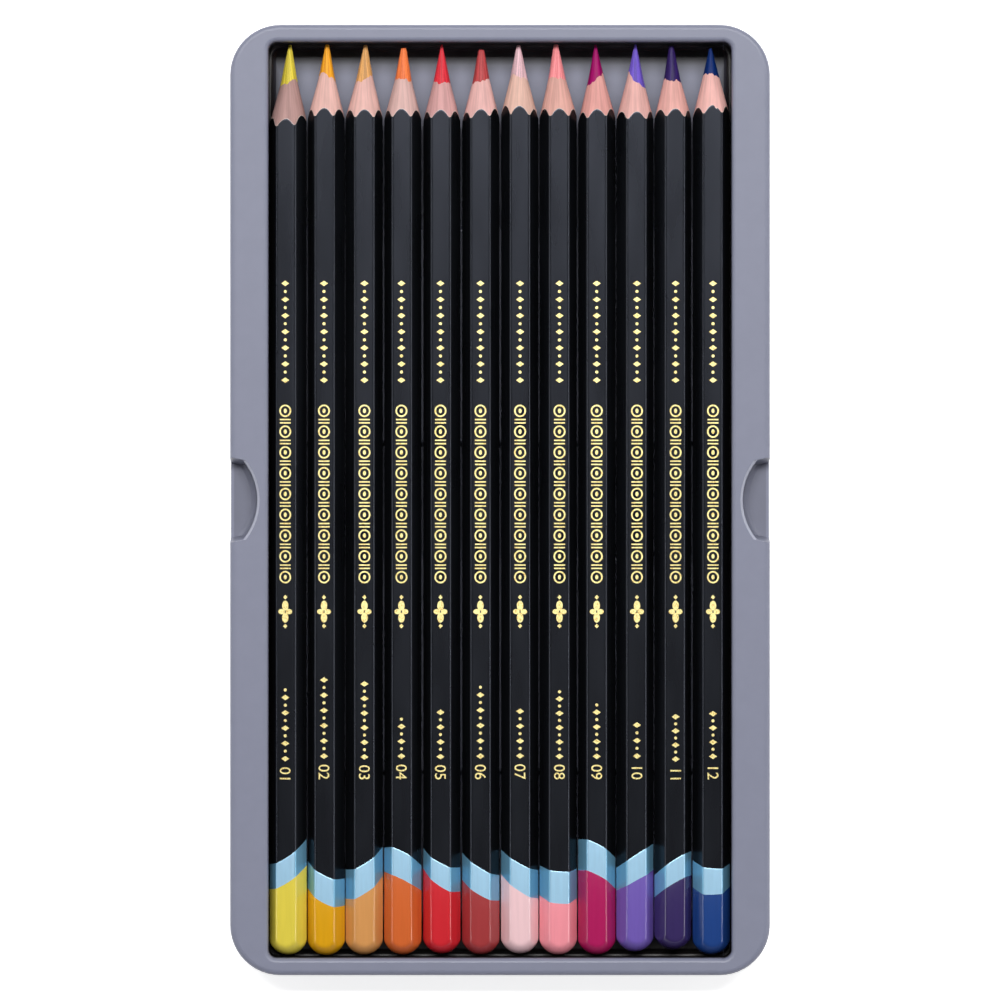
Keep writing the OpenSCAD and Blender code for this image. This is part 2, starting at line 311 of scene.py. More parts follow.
@dataclass(frozen=True)
class TrayPlastic(Finish):
    """Matte grey-blue sheet with a fine grain, painted shade along the foot of the pocket's walls
    and in the scoops, and a painted highlight on the scoops' upper edge.

    Attributes:
        grain, mottle: Features of the grain and of the broad clouds per millimetre.
        painted_shade: Painted shade of the pocket's corners, ends and scoops, where the walls' and
            pencils' shadows fall; the pairs say between which places it comes or goes.
        back, front, side: Feet of these walls, from the tray's middle.
        pocket_x, pocket_y: Ends of the pocket, from the tray's middle.
        sheet, scoop_floor: Heights just under the pocket's floor and a scoop's.
        scoop_in, scoop_out, scoop_end: Edges of the finger scoops, from the tray's middle.
        top: Heights at which the painted shade ends.
        back_share, scoop_share: How far the back and the scoops take the painted shade.
        brow_in, brow_out, brow_end, brow_low, brow_high: Limits of the scoops' upper edge, where a
        highlight is painted.
        rubbed, rub: Tone of that painted highlight, and how far it takes it.
    """

    name: str = Slot.TRAY.value
    colour: str = "#7E8194"
    gains: Pair = (0.975, 1.02)
    roughness: float = 0.42
    swing: float = 0.12
    grain: float = 5.0
    mottle: float = 0.35
    # Painted shade for the pocket's corners and the scoops.
    painted_shade: str = "#1A1616"
    back: Pair = (80.6, 85.4)
    front: Pair = (77.9, 81.4)
    side: Pair = (41.6, 43.8)
    pocket_x: Pair = (44.4, 44.7)
    pocket_y: Pair = (87.6, 87.9)
    sheet: Pair = (0.3, 0.7)
    scoop_floor: Pair = (4.6, 5.0)
    scoop_in: Pair = (46.0, 46.6)
    scoop_out: Pair = (50.8, 51.1)
    scoop_end: Pair = (9.6, 9.9)
    top: Pair = (7.0, 9.6)
    back_share: float = 0.93
    scoop_share: float = 0.29
    brow_in: Pair = (45.6, 45.8)
    brow_out: Pair = (50.3, 50.4)
    brow_end: Pair = (8.7, 8.8)
    brow_low: Pair = (9.55, 9.75)
    brow_high: Pair = (10.15, 10.19)
    # Painted highlight on the scoops' upper edge.
    highlight_tone: str = "#B4B7C6"
    highlight_share: float = 0.65

    def painted_shade_mask(self, g: Graph) -> Signal:
        """Finds where shade is painted: the pocket's corners and the scoops.

        Args:
            g: The material's graph.

        Returns:
            How far a place takes the painted shade.
        """
        x, y, z = g.axes(g.place())
        across, along = x.size(), y.size()
        # Painted shadow of the back wall; painted shade at the front end, along the sides and in
        # the scoops.
        back = y.smooth(*self.back) * self.back_share
        corners = back.at_least((0 - y).smooth(*self.front)).at_least(across.smooth(*self.side))
        pocket = across.fade(*self.pocket_x) * along.fade(*self.pocket_y) * z.smooth(*self.sheet)
        scoops = across.smooth(*self.scoop_in) * across.fade(*self.scoop_out)
        scoops = scoops * along.fade(*self.scoop_end) * z.smooth(*self.scoop_floor)
        return (corners * pocket + scoops * self.scoop_share) * z.fade(*self.top)

    def brow_highlight_mask(self, g: Graph) -> Signal:
        """Finds the upper edge of the finger scoops, where a highlight is painted.

        Args:
            g: The material's graph.

        Returns:
            1 on that edge, 0 elsewhere.
        """
        x, y, z = g.axes(g.place())
        across = x.size()
        wide = across.smooth(*self.brow_in) * across.fade(*self.brow_out)
        high = z.smooth(*self.brow_low) * z.fade(*self.brow_high)
        return wide * high * y.size().fade(*self.brow_end)

    def material(self) -> Material:
        """Builds the material.

        Returns:
            The new material.
        """
        g = Graph.material(self.name)
        fine = g.noise((self.grain,) * 3, 3.0)
        broad = g.noise((self.mottle,) * 3)
        sheet = g.tones((broad * 0.6 + fine * 0.4).smooth(), self.colour, self.gains)
        # Painted highlight on the scoops' upper edge, where the rim's fillet catches the light.
        highlighted = g.mix(self.brow_highlight_mask(g) * self.highlight_share, sheet, shade(self.highlight_tone))
        return g.finish(
            # Painted shade over the pocket's corners and the scoops.
            Base_Color=g.mix(self.painted_shade_mask(g), highlighted, shade(self.painted_shade)),
            Roughness=fine.spread(self.roughness, self.swing),
            Normal=g.bump(fine, 0.012, 0.5),
        )


@dataclass(frozen=True)
class Lacquer(Finish):
    """Semi-gloss black lacquer with a faint orange peel.

    Attributes:
        gloss, tint: Strength and colour of the shine.
    """

    name: str = Slot.LACQUER.value
    colour: str = "#08090B"
    gains: Pair = (0.85, 1.15)
    roughness: float = 0.28
    swing: float = 0.08
    gloss: float = 0.55
    tint: Colour = (0.74, 0.8, 1.0, 1.0)

    def material(self) -> Material:
        """Builds the material.

        Returns:
            The new material.
        """
        g = Graph.material(self.name)
        peel = g.noise((1.6, 0.5, 1.6))
        cloud = g.noise((0.25, 0.05, 0.25))
        return self.close(
            cloud.smooth(),
            cloud,
            Specular_IOR_Level=self.gloss,
            Specular_Tint=self.tint,
            Normal=g.bump(peel, 0.006, 0.4),
        )


@dataclass(frozen=True)
class Undercoat:
    """Pale primer that shows where the sharpener cuts through the lacquer."""

    colour: str = "#EFD9CE"
    gains: Pair = (0.8, 1.0)
    roughness: float = 0.6

    def material(self) -> Material:
        """Builds the material.

        Returns:
            The new material.
        """
        g = Graph.material("undercoat")
        speck = g.noise((6.0, 6.0, 6.0)).smooth(0.35, 0.65)
        return g.finish(
            Base_Color=g.tones(speck, self.colour, self.gains), Roughness=self.roughness
        )


@dataclass(frozen=True)
class Sharpened(Finish):
    """Finish of a cut surface, with streaks along the pencil.

    Attributes:
        axis: Point on the pencil's axis.
    """

    axis: Vector = field(kw_only=True)


@dataclass(frozen=True)
class Cedar(Sharpened):
    """Freshly sharpened cedar."""

    gains: Pair = (0.84, 1.1)
    roughness: float = 0.66
    swing: float = 0.16

    def material(self) -> Material:
        """Builds the material.

        Returns:
            The new material.
        """
        g = Graph.material(self.name)
        grain = g.noise(g.around(self.axis, 4.5, 0.06), 2.0)
        fibre = g.noise(g.around(self.axis, 15.0, 0.2), 2.0)
        cloud = g.noise((0.5, 0.2, 0.5))
        tone = (grain * 0.5 + fibre * 0.3 + cloud * 0.2).smooth(0.36, 0.64)
        return self.close(tone, fibre, Specular_IOR_Level=0.2, Normal=g.bump(fibre, 0.02, 0.3))


@dataclass(frozen=True)
class PencilCore(Sharpened):
    """Waxy coloured core, scored by the sharpener."""

    gains: Pair = (0.7, 1.22)
    roughness: float = 0.44
    swing: float = 0.2

    def material(self) -> Material:
        """Builds the material.

        Returns:
            The new material.
        """
        g = Graph.material(self.name)
        streak = g.noise(g.around(self.axis, 5.5, 0.1), 2.0)
        speck = g.noise((7.0, 3.0, 7.0), 2.0)
        tone = (streak * 0.8 + speck * 0.2).smooth(0.36, 0.64)
        return self.close(tone, streak, Specular_IOR_Level=0.18, Normal=g.bump(streak, 0.08, 1.0))


@dataclass(frozen=True)
class DipPaint(Finish):
    """Glossy dipped paint with faint runs along the barrel.

    Attributes:
        pearl: Share of pearly pigment, which mirrors as metal does.
        gloss: Strength of the clear shine on top.
    """

    gains: Pair = (0.975, 1.02)
    roughness: float = 0.14
    swing: float = 0.06
    pearl: float = 0.0
    gloss: float = 0.9

    def material(self) -> Material:
        """Builds the material.

        Returns:
            The new material.
        """
        g = Graph.material(self.name)
        runs = g.noise((1.8, 0.12, 1.8), 1.0)
        peel = g.noise((1.4, 0.9, 1.4), 1.0)
        return self.close(
            runs.smooth(),
            peel,
            Metallic=self.pearl,
            Specular_IOR_Level=self.gloss,
            Normal=g.bump(peel, 0.008, 0.35),
        )


@dataclass(frozen=True)
class GoldFoil:
    """Hot-stamped gold foil, worn thin in places."""

    bright: str = "#FFF0A6"
    worn: str = "#DCB45C"
    shine: float = 0.65
    roughness: float = 0.42
    swing: float = 0.2

    def material(self) -> Material:
        """Builds the material.

        Returns:
            The new material.
        """
        g = Graph.material(Slot.FOIL.value)
        wear = g.noise((5.0, 3.0, 5.0), 3.0)
        return g.finish(
            Base_Color=g.mix(wear.smooth(0.3, 0.52), shade(self.worn), shade(self.bright)),
            Metallic=self.shine,
            Roughness=wear.spread(self.roughness, self.swing),
            Normal=g.bump(wear, 0.01, 0.4),
        )


# ------------ meshes


@dataclass
class Skin:
    """Mesh in the making, in millimetres: rings of points and the faces between them."""

    points: list[Vector] = field(default_factory=list)
    faces: list[tuple[int, ...]] = field(default_factory=list)
    slots: list[int] = field(default_factory=list)

    def ring(self, points: Iterable[Sequence[float]]) -> list[int]:
        """Adds points.

        Args:
            points: Their places.

        Returns:
            Their numbers.
        """
        start = len(self.points)
        self.points.extend(Vector(p) for p in points)
        return list(range(start, len(self.points)))

    def join(
        self, back: list[int], front: list[int], slots: Sequence[int] = (0,), closed: bool = True
    ) -> None:
        """Joins two rings with quads.

        Args:
            back, front: Rings further from the point and nearer to it, with equally many points.
            slots: Material numbers of equal shares of the ring, in order.
            closed: Whether the rings close on themselves.
        """
        count = len(back)
        for k in range(count if closed else count - 1):
            n = (k + 1) % count
            self.faces.append((back[k], front[k], front[n], back[n]))
            self.slots.append(slots[k * len(slots) // count])

    def stack(
        self,
        rings: Iterable[Iterable[Sequence[float]]],
        slots: Sequence[int] = (0,),
        closed: bool = True,
    ) -> list[list[int]]:
        """Adds rings, each joined to the one before it.

        Args:
            rings: Places of their points, from back to front.
            slots, closed: As for join.

        Returns:
            The rings as numbers of points.
        """
        added = [self.ring(ring) for ring in rings]
        for back, front in zip(added, added[1:]):
            self.join(back, front, slots, closed)
        return added

    def cap(self, ring: list[int], slot: int = 0, turned: bool = False) -> None:
        """Closes a ring with one face."""
        self.faces.append(tuple(ring[::-1] if turned else ring))
        self.slots.append(slot)

    def build(self, name: str, materials: Sequence[Material], smooth: bool = True) -> Piece:
        """Makes the object.

        Args:
            name, materials: The piece's name, and its materials by slot number.
            smooth: Whether its faces are shaded smooth.

        Returns:
            The new object, linked to the scene.
        """
        mesh = bpy.data.meshes.new(name)
        mesh.from_pydata([p * MM for p in self.points], [], self.faces)
        for polygon, slot in zip(mesh.polygons, self.slots):
            polygon.material_index = slot
            polygon.use_smooth = smooth
        for material in materials:
            mesh.materials.append(material)
        mesh.update()
        piece = bpy.data.objects.new(name, mesh)
        bpy.context.scene.collection.objects.link(piece)
        return piece


def settle(piece: Piece, body: str, slot: str, *nodes: str) -> None:
    """Puts a piece on its body.

    Args:
        piece, body: The piece, already in place, and the body that carries it.
        slot: The record's slot that its finish comes from; not used.
        nodes: CAD nodes that it stands for.
    """
    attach(piece, body)
    if nodes:
        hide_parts(*nodes)
    log.info("%s rides on %s", piece.name, body)


def soft_min(a: float, b: float, blend: float) -> float:
    """Smaller of two lengths, rounded where they meet over the blend length."""
    rounding = max(blend - abs(a - b), 0.0) ** 2 / (4 * blend) if blend > 0 else 0.0
    return min(a, b) - rounding


# ------------ pencils


@dataclass(frozen=True)
class Barrel:
    """Section of a pencil: a hexagon with a flat on top and round corners."""

    flats: float = 6.4
    corner: float = 0.85
    arc_steps: int = 8
    flat_steps: int = 12

    @property
    def half(self) -> int:
        """Number of points in half an outline."""
        return 3 * (self.arc_steps + self.flat_steps)

    def outline(self, grow: float, roll: float) -> Outline:
        """Points round the barrel, from the middle of the corner at +X, anticlockwise.

        Args:
            grow: How far the outline lies outside the barrel's surface.
            roll: Turn about the pencil's axis, in degrees.

        Returns:
            The points as (x, z).
        """
        reach = (self.flats / 2 - self.corner) / math.cos(math.radians(30))
        radius = self.corner + grow
        arc = range(self.arc_steps // 2)

        def turned(length: float, degrees: float) -> complex:
            """Point at a distance from the axis, in a direction."""
            return cmath.rect(length, math.radians(degrees))

        points = []
        for side in range(0, 360, 60):
            hub, after = turned(reach, side), turned(reach, side + 60)
            out = turned(radius, side + 30)
            points += [hub + turned(radius, side + 30 * k / len(arc)) for k in arc]
            shares = (k / self.flat_steps for k in range(self.flat_steps))
            points += [hub + (after - hub) * share + out for share in shares]
            points += [after + turned(radius, side + 30 + 30 * k / len(arc)) for k in arc]
        spun = [point * turned(1, -roll) for point in points]
        return [(point.real, point.imag) for point in spun]


@dataclass(frozen=True)
class Edge:
    """Slanting edge of a paint.

    Attributes:
        height: Height above the rounded end of the longest pencil, at the middle of the top flat.
        across, down: Slopes along +X and +Z.
        bend: How much the line curves up at its sides.
    """

    height: float
    across: float
    down: float
    bend: float = 0.0

    def y(self, x: float, z: float, end: float, top: float) -> float:
        """Place along the barrel, at (x, z) of its section, for an end and a top flat."""
        return end + self.height + self.across * x + self.down * (z - top) + self.bend * x * x


@dataclass(frozen=True)
class Row:
    """What sets one pencil of the row apart.

    Attributes:
        name: The colour's plain name, as in the CAD nodes.
        core, dip, wood: Colours of the core, the dipped end and the cedar.
        roll: Turn about the pencil's own axis, in degrees.
        sharpener, core_off: How far the sharpener's axis and the core lie off the barrel's axis.
        tip: (how far the point stays back, exposed core, radius at the point).
        lean: How far the point was sharpened off to one side.
        end_back: How far the rounded end stays back.
        band, dip_line: Upper edge of the band, and edge of the dip paint.
        label: Length of the small ornament and the number near the end.
        chip: (place round the pencil in degrees, depth) of a chip in the lacquer's edge.
    """

    name: str
    core: str
    dip: str
    wood: str
    roll: float
    sharpener: Pair
    core_off: Pair
    tip: Triple
    lean: float
    end_back: float
    band: Edge
    dip_line: Edge
    label: float
    chip: Pair = (90.0, 0.0)


ROWS = (
    Row("yellow", "#D7C341", "#DECB4A", "#B08C87", -8, (0.1, -0.25), (0, -0.3), (0.05, 7.5, 0.3),
        0.25, 0.2, Edge(19.1, 0.68, -0.07, 0.05), Edge(14.2, 0.65, -0.07, 0.05), 17.8),
    Row("amber", "#F6A127", "#D99E10", "#E0B3AA", -6, (0, 0.1), (0.12, -0.1), (0, 6.9, 0.35),
        0.2, 0.1, Edge(15.4, -0.45, -0.15, 0.05), Edge(10.1, -0.45, -0.15, 0.06), 19.7),
    Row("ochre", "#DCA262", "#D29455", "#DEB1A9", 2, (0, 0), (-0.2, 0), (0.1, 6.7, 0.35),
        0.25, 0.2, Edge(17.7, 0.6, -0.2, 0.03), Edge(12, 0.6, -0.25, 0.03), 18.9),
    Row("orange", "#F77A42", "#CF642E", "#D1ACA6", -4, (0, 0.1), (0, 0.05), (0.65, 6.4, 0.55),
        0.15, 0.2, Edge(20.1, -0.5, 0.25, -0.03), Edge(14.8, -0.5, 0, -0.04), 12.2),
    Row("red", "#D9323F", "#CC2630", "#CD9C9A", -4, (0, 0.15), (0, 0.15), (0, 7.4, 0.15),
        0, 0.4, Edge(17.8, -0.5, -0.15, 0.04), Edge(13.3, -0.6, -0.2, 0.05), 13.5),
    Row("brick", "#B54547", "#A0383A", "#E2B1AC", -1, (0.1, 0.1), (0, 0.1), (1, 6.1, 0.6),
        0, 0.2, Edge(16.9, -0.6, -0.1, 0.03), Edge(11.7, -0.55, -0.12, 0.04), 18.3),
    Row("pale_pink", "#DDB4BB", "#ECC5C9", "#DBB3A4", 1, (-0.1, 0.1), (0, 0.05), (0.2, 6.3, 0.4),
        -0.15, 0.4, Edge(17.8, -0.55, -0.05, 0.03), Edge(12.5, -0.65, -0.15, 0.03), 13.7,
        (118, 0.35)),
    Row("rose", "#FF8D91", "#EF929D", "#D9A59A", 4, (0, 0), (0, 0), (0, 6.6, 0.45),
        -0.45, 0.2, Edge(16.3, -0.1, -0.1, 0.03), Edge(10.2, -0.1, -0.25, 0.03), 17.4),
    Row("plum", "#93015B", "#AC1959", "#DA9D96", -1, (0.1, 0.1), (-0.2, 0.05), (0, 7.1, 0.15),
        -0.35, 0.2, Edge(21.6, -0.5, 0.2, -0.04), Edge(15.7, -0.5, 0.2, -0.04), 14.9),
    Row("lavender", "#6D55BF", "#6E58AD", "#E0ADA6", 6, (0, -0.05), (0.36, 0), (0, 7, 0.2),
        0.1, 0.8, Edge(19.4, 0.65, 0, -0.02), Edge(14.5, 0.55, -0.08, -0.02), 11.1),
    Row("indigo", "#2F1B5D", "#35285B", "#DFA79F", 8, (0, 0.1), (0.05, 0.1), (0.3, 6.7, 0.45),
        -0.3, 1.2, Edge(18.4, 0.65, 0.1, -0.03), Edge(14, 0.6, 0.1, -0.03), 12.6),
    Row("navy", "#042767", "#1C3F80", "#E6B1AA", 4, (0.05, 0.15), (0.14, -0.05), (0.75, 5.8, 0.28),
        -0.2, 0.2, Edge(16.9, -0.1, -0.27, 0.02), Edge(11.9, 0, -0.35, 0.02), 13.2,
        (76, 0.5)),
)


WAVES = ((2, 0.3), (3, 0.35), (5, 0.38), (8, 0.28), (13, 0.2), (24, 0.1))
"""Waves of a ragged edge: how many go round a pencil, and how high each is."""

NOSE = ((0.93, 0.25), (0.7, 0.46), (0.35, 0.5))
"""Rings of the blunt point: radius and place, in radii of the point."""


@dataclass
class Pencil:
    """One sharpened pencil, placed where its CAD nodes are.

    Attributes:
        row, number: What sets it apart, and its place in the row from 1.
        length: Length of the longest pencil.
        core_d, core_steps, core_wobble: The core's diameter, steps along its cone, ragged edge.
        wood_angle, wood_steps: Slope of the sharpened wood, in degrees, and steps along it.
        coat, primer: Thickness of the lacquer, and the primer's share of it.
        coat_wobble, chip_width: How ragged its edge is, and a chip's width in degrees.
        sleeve: How far the coat's last level ring lies behind the cone.
        band_grow, dip_grow: How far band and dip lie outside the barrel.
        band_mid: Height and place of the ring halfway round the band's edge, as shares of both.
        tuck, overlap: How far a layer sinks in and how far it runs on at its edge.
        edge_roll, band_roll: Lengths over which the layers' edges and the band's round off.
        dome_r, dome_tip, dome_steps: Radius of the rounded end, of its flat tip, steps along it.
        dome_blend: Length over which the flats run into it.
        dome_ease: Turn, in radians, over which that blend sets in.
        barrel: Section of the barrel.
    """

    row: Row
    number: int
    length: float = 174.3
    core_d: float = 3.3
    core_steps: int = 8
    core_wobble: float = 0.075
    wood_angle: float = 14.6
    wood_steps: int = 10
    coat: float = 0.05
    coat_wobble: float = 0.07
    chip_width: float = 4.0
    sleeve: float = 6.0
    primer: float = 0.35
    band_grow: float = 0.02
    band_mid: Pair = (0.7, 0.35)
    dip_grow: float = 0.035
    tuck: float = 0.01
    edge_roll: float = 0.1
    band_roll: float = 0.24
    overlap: float = 0.4
    dome_r: float = 3.75
    dome_steps: int = 14
    dome_blend: float = 0.14
    dome_ease: float = 0.5
    dome_tip: float = 0.02
    barrel: Barrel = Barrel()

    def __post_init__(self) -> None:
        """Reads the pencil's place from its CAD nodes."""
        low, high = node_box(f"{self.row.name}_dipped_end")
        self.place = Vector(((low.x + high.x) / 2, 0.0, (low.z + high.z) / 2))
        self.body = f"{self.row.name}_pencil"
        self.end_y = -self.length / 2 + self.row.end_back
        self.dome_y = self.end_y + self.dome_r
        self.point_y = self.length / 2 - self.row.tip[0]
        self.wood_y = self.point_y - self.row.tip[1]
        self.top = self.barrel.flats / 2
        self.cone_start = self.cone_y(self.top)
        luck = random.Random(100 + self.number)
        self.phases = [luck.uniform(0, 2 * math.pi) for _ in WAVES]

    def section(self, grow: float) -> Outline:
        """The barrel's outline, grown, with the pencil's own roll."""
        return self.barrel.outline(grow, self.row.roll)

    # -- the sharpened form

    def cone_y(self, radius: float) -> float:
        """Place along the pencil of a ring of the sharpened form.

        Args:
            radius: The ring's radius.

        Returns:
            Its place.
        """
        core_r, point_r = self.core_d / 2, self.row.tip[2]
        if radius >= core_r:
            return self.wood_y - (radius - core_r) / math.tan(math.radians(self.wood_angle))
        rise = self.row.tip[1] - point_r / 2
        return self.wood_y + (core_r - radius) * rise / (core_r - point_r)

    def polar(self, x: float, z: float) -> Triple:
        """Looks at a point of the section from the sharpener's axis.

        Args:
            x, z: The point.

        Returns:
            (x and z of its direction, distance).
        """
        dx, dz = x - self.row.sharpener[0], z - self.row.sharpener[1]
        radius = math.hypot(dx, dz)
        return dx / radius, dz / radius, radius

    def wobble(self, ux: float, uz: float, size: float) -> float:
        """Small irregular wave round the pencil."""
        turn = math.atan2(uz, ux)
        return size * sum(a * math.sin(n * turn + p) for (n, a), p in zip(WAVES, self.phases))

    def core_edge(self, ux: float, uz: float) -> float:
        """Radius at which the core meets the wood.

        Args:
            ux, uz: Direction from the sharpener's axis.

        Returns:
            The radius.
        """
        dx, dz = (off - axis for off, axis in zip(self.row.core_off, self.row.sharpener))
        along = dx * ux + dz * uz
        edge = along + math.sqrt((self.core_d / 2) ** 2 - dx * dx - dz * dz + along * along)
        return edge + self.wobble(ux, uz, self.core_wobble)

    def cone_ring(self, outline: Outline, share: float, end: "float | None" = None) -> list[Vector]:
        """Ring on the sharpened form.

        Args:
            outline: Section that gives the directions.
            share: Place between the core's edge, at 0, and the other end, at 1.
            end: Radius at that end, or none for the outline itself.

        Returns:
            The ring's points.
        """
        ring = []
        for x, z in outline:
            ux, uz, radius = self.polar(x, z)
            edge = self.core_edge(ux, uz)
            r = edge + ((radius if end is None else end) - edge) * share
            ring.append(self.spot(ux * r, self.cone_y(r), uz * r, self.row.sharpener))
        return ring

    def nose_ring(self, outline: Outline, width: float, rise: float) -> list[Vector]:
        """Ring on the blunt point.

        Args:
            outline: Section that gives the directions.
            width, rise: Its radius and place, in radii of the point.

        Returns:
            The ring's points.
        """
        radius = self.row.tip[2]
        r, y = radius * width, self.point_y + radius * (rise - NOSE[-1][1])
        turns = (self.polar(x, z) for x, z in outline)
        return [self.spot(ux * r, y, uz * r, self.row.sharpener) for ux, uz, _ in turns]

    def spot(self, x: float, y: float, z: float, off: Pair = (0.0, 0.0)) -> Vector:
        """Point of the pencil's own frame in the row's frame, with the cone's lean."""
        rise = max(0.0, (y - self.cone_start) / (self.point_y - self.cone_start))
        return self.place + Vector((x + off[0] + self.row.lean * rise, y, z + off[1]))

    def level_ring(self, outline: Outline, y: float) -> list[Vector]:
        """Ring square to the pencil's axis."""
        return [self.spot(x, y, z) for x, z in outline]

    def line_ring(self, outline: Outline, line: Edge, shift: float) -> list[Vector]:
        """Ring along a paint line, moved towards the point by shift."""
        end = -self.length / 2
        return [self.spot(x, line.y(x, z, end, self.top) + shift, z) for x, z in outline]

    # -- pieces

    def core(self) -> None:
        """Coloured core, from the blunt point to its ragged edge on the wood."""
        skin = Skin()
        outline = self.barrel.outline(0, 0)
        shares = (step / self.core_steps for step in range(self.core_steps + 1))
        rings = [self.cone_ring(outline, share, self.row.tip[2]) for share in shares]
        rings += [self.nose_ring(outline, *ring) for ring in NOSE]
        skin.cap(skin.stack(rings)[-1], turned=True)
        name = f"{self.row.name}_core_point"
        piece = skin.build(name, [PencilCore(name, self.row.core, axis=self.place).material()])
        settle(piece, self.body, f"{self.row.name}_core", f"{self.row.name}_core")

    def slat(self, upper: bool, cedar: Material) -> None:
        """One half slat of cedar: its share of the sharpened cone and its flank.

        Args:
            upper: Whether it is the upper one.
            cedar: Its material.
        """
        skin = Skin()
        outline = self.section(-self.coat)
        half = self.barrel.half
        part = outline[:half + 1] if upper else outline[half:] + outline[:1]
        shares = (1 - step / self.wood_steps for step in range(self.wood_steps + 1))
        cone = [self.cone_ring(part, share) for share in shares]
        skin.stack([self.level_ring(part, self.dome_y), *cone], closed=False)
        name = f"{self.row.name}_{'upper' if upper else 'lower'}_slat"
        piece = skin.build(name, [cedar])
        settle(piece, self.body, Slot.CEDAR.value, f"{self.row.name}_casing")

    def edge_back(self, x: float, z: float) -> float:
        """How far the lacquer's edge stays back behind the sharpened cone.

        Args:
            x, z: Point of the section.

        Returns:
            The distance there.
        """
        ux, uz, _ = self.polar(x, z)
        turn = math.degrees(math.atan2(uz, ux))
        place, depth = self.row.chip
        away = (turn - place) / self.chip_width
        return abs(self.wobble(ux, uz, self.coat_wobble)) + depth * math.exp(-away * away)

    def lacquer(self, black: Material, primer: Material) -> None:
        """Black coat, from its scalloped edge to the band.

        Args:
            black: Material of the coat.
            primer: Material that its cut edge shows.
        """
        skin = Skin()
        outer = self.section(0)
        inner = self.section(-self.coat)
        between = self.section(-self.coat * (1 - self.primer))
        back_off = [self.edge_back(x, z) for x, z in outer]

        def edge(outline: Outline) -> list[Vector]:
            """Ring where the cone cuts this layer."""
            spots = ((x, self.cone_y(self.polar(x, z)[2]), z) for x, z in outline)
            return [self.spot(x, y - back, z) for (x, y, z), back in zip(spots, back_off)]

        behind = edge(outer)
        for p in behind:
            p.y -= self.edge_roll
        rings = skin.stack([
            self.line_ring(outer, self.row.band, -self.overlap),
            self.line_ring(outer, self.row.band, self.overlap),
            self.level_ring(outer, self.cone_start - self.sleeve),
            behind,
            edge(outer),
            edge(between),
        ])
        skin.join(rings[-1], skin.ring(edge(inner)), (1,))
        piece = skin.build(f"{self.row.name}_lacquer_coat", [black, primer])
        settle(piece, self.body, Slot.LACQUER.value, f"{self.row.name}_lacquer")

    def band(self, blues: Sequence[Material]) -> None:
        """Blue band with a rolled front edge over the lacquer.

        Args:
            blues: Materials of its upper and lower flats, and a darker copy of the same blue that
                paints shade on its sides.
        """
        skin = Skin()
        low = self.section(-self.tuck)
        high = self.section(self.band_grow)
        mid = self.section(self.band_grow * self.band_mid[0])
        rings = [
            self.line_ring(high, self.row.dip_line, -self.overlap),
            self.line_ring(high, self.row.band, -self.band_roll),
            self.line_ring(mid, self.row.band, -self.band_roll * self.band_mid[1]),
            self.line_ring(low, self.row.band, 0),
        ]
        # The side flats take the darker blue: painted shade.
        skin.stack(rings, slots=(1, 0, 1, 1, 0, 1))
        piece = skin.build(f"{self.row.name}_band", blues)
        settle(piece, self.body, Slot.BAND.value, f"{self.row.name}_dipped_end")

    def dipped(self) -> None:
        """Dipped end: a rolled edge over the band, the barrel and the rounded end."""
        skin = Skin()
        low = self.section(self.band_grow - self.tuck)
        high = self.section(self.dip_grow)
        rings = []
        for step in range(self.dome_steps, -1, -1):
            turn = math.pi / 2 * step / self.dome_steps
            limit = self.dome_r * math.cos(turn)
            blend = self.dome_blend * min(1.0, turn / self.dome_ease)
            ring = []
            for x, z in high:
                radius = math.hypot(x, z)
                share = max(soft_min(radius, limit, blend), self.dome_tip) / radius
                y = self.dome_y - self.dome_r * math.sin(turn)
                ring.append(self.spot(x * share, y, z * share))
            rings.append(ring)
        rings.append(self.line_ring(high, self.row.dip_line, -self.edge_roll))
        rings.append(self.line_ring(low, self.row.dip_line, 0))
        skin.cap(skin.stack(rings)[0])
        name = f"{self.row.name}_dip"
        piece = skin.build(name, [DipPaint(name, self.row.dip).material()])
        settle(piece, self.body, name, f"{self.row.name}_dipped_end")

    def build(self, shared: "dict[Slot, Material]", primer: Material) -> None:
        """Makes all pieces of the pencil.

        Args:
            shared: Materials that all pencils share, by slot.
            primer: Material under the lacquer.
        """
        cedar = Cedar(f"{self.row.name}_cedar", self.row.wood, axis=self.place).material()
        self.core()
        self.slat(True, cedar)
        self.slat(False, cedar)
        self.lacquer(shared[Slot.LACQUER], primer)
        self.band([shared[Slot.BAND], shared[Slot.BAND_PAINTED_SHADE]])
        self.dipped()
        Foil(self).build(shared[Slot.FOIL])


